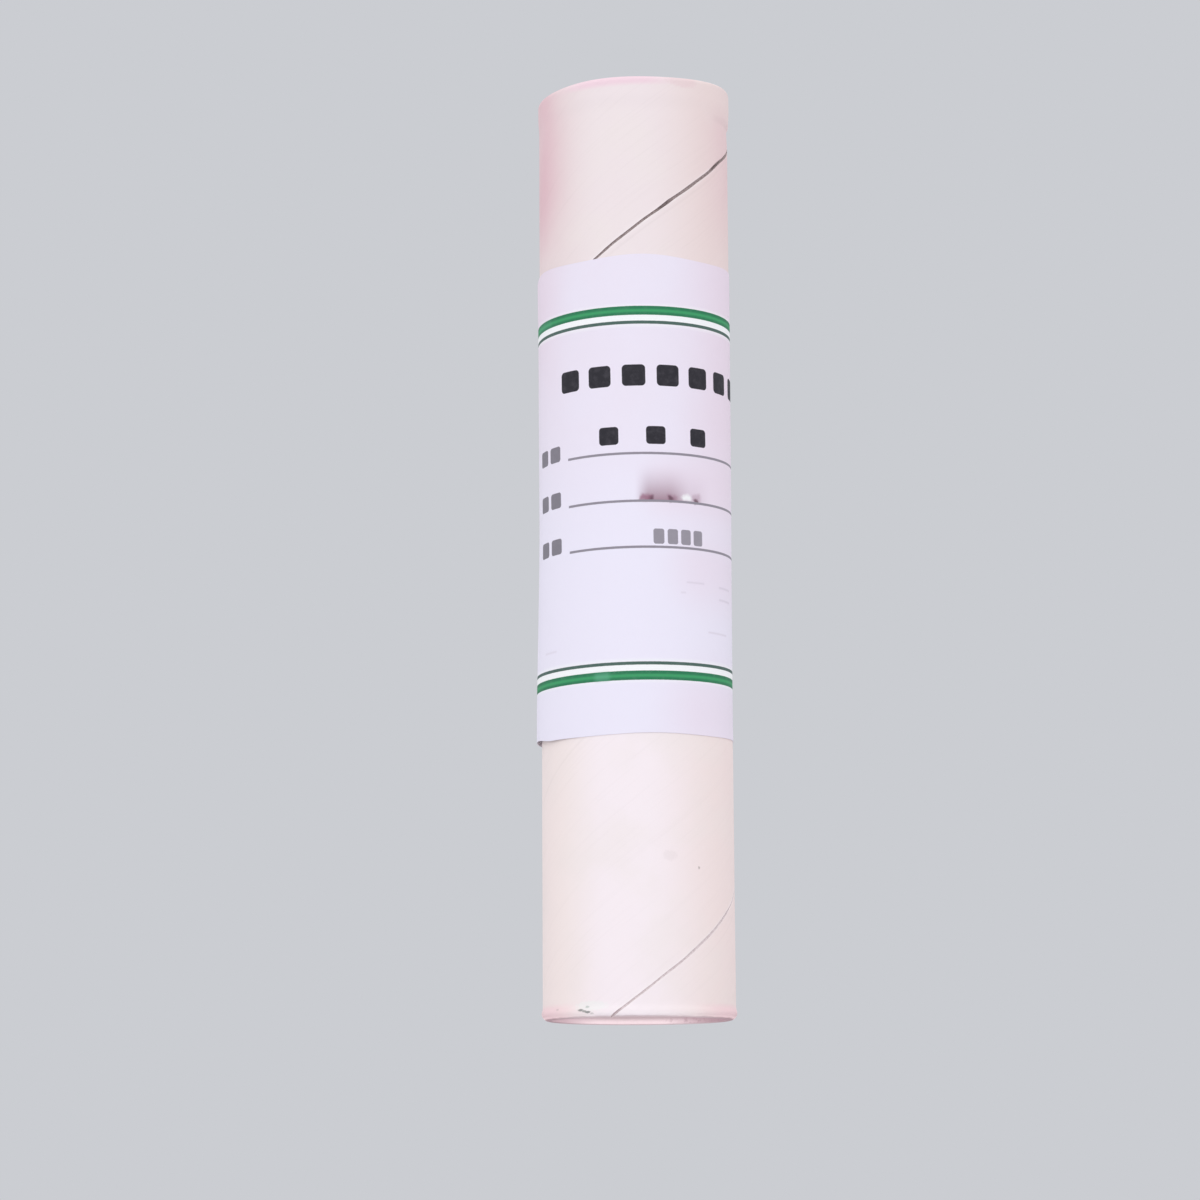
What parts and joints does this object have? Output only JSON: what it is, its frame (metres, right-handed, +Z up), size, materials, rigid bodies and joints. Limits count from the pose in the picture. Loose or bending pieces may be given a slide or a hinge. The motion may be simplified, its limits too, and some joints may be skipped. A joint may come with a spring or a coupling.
{
  "type": "cardboard tube pack of glass capillary tubes",
  "caption": "Closed spiral-wound cardboard tube that packs glass capillary tubes, with a disc in each end and a paper label wrapped round its middle.",
  "frame": {"origin": "centre of the tube's square lower end, on the surface that the pack stands on", "axes": "+Z up the tube, -Y towards the front of the label, +X to the label's right"},
  "size_m": [0.0338, 0.0338, 0.1628],
  "materials": {
    "cardboard": "pinkish-white paper lining, matt, with a spiral seam",
    "label_paper": "smooth lavender-white paper with green and dark printed lines"
  },
  "bodies": {
    "root": {"tube": "cardboard", "label": "label_paper"}
  },
  "joints": []
}
